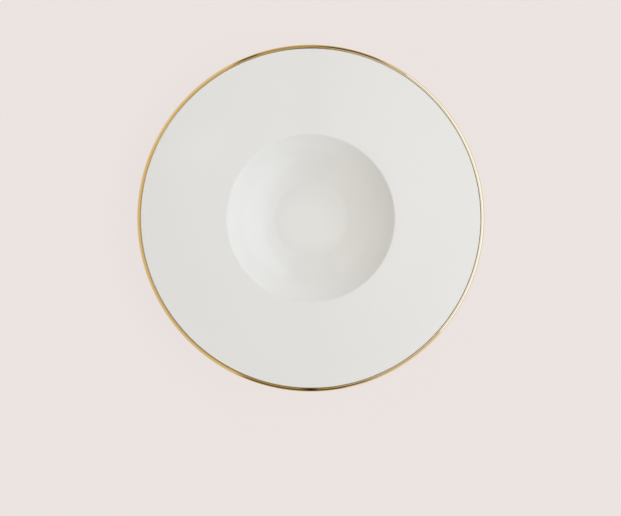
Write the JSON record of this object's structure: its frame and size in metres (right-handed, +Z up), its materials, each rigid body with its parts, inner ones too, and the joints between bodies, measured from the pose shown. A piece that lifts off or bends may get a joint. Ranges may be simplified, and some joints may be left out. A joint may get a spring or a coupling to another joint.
{
  "type": "rimmed soup plate",
  "caption": "Round wide-rimmed soup plate of white glazed china with a small deep well, a foot ring and a gilded lip.",
  "frame": {"origin": "centre of the foot ring's standing face, on the plate's axis", "axes": "+Z up along the plate's axis; the plate is round, so +X and +Y are free"},
  "size_m": [0.28, 0.28, 0.0449],
  "materials": {
    "bisque": "bare fired china, matt and very fine grained",
    "glaze": "warm white clear glaze, smooth and glossy",
    "base_glaze": "warm white clear glaze, smooth and glossy, a little thinner than on the face",
    "gilding": "burnished gold, fired on over the glaze"
  },
  "bodies": {
    "root": {"porcelain_body": "bisque", "glaze_coat": "glaze", "base_glaze": "base_glaze", "gold_band": "gilding"}
  },
  "joints": []
}
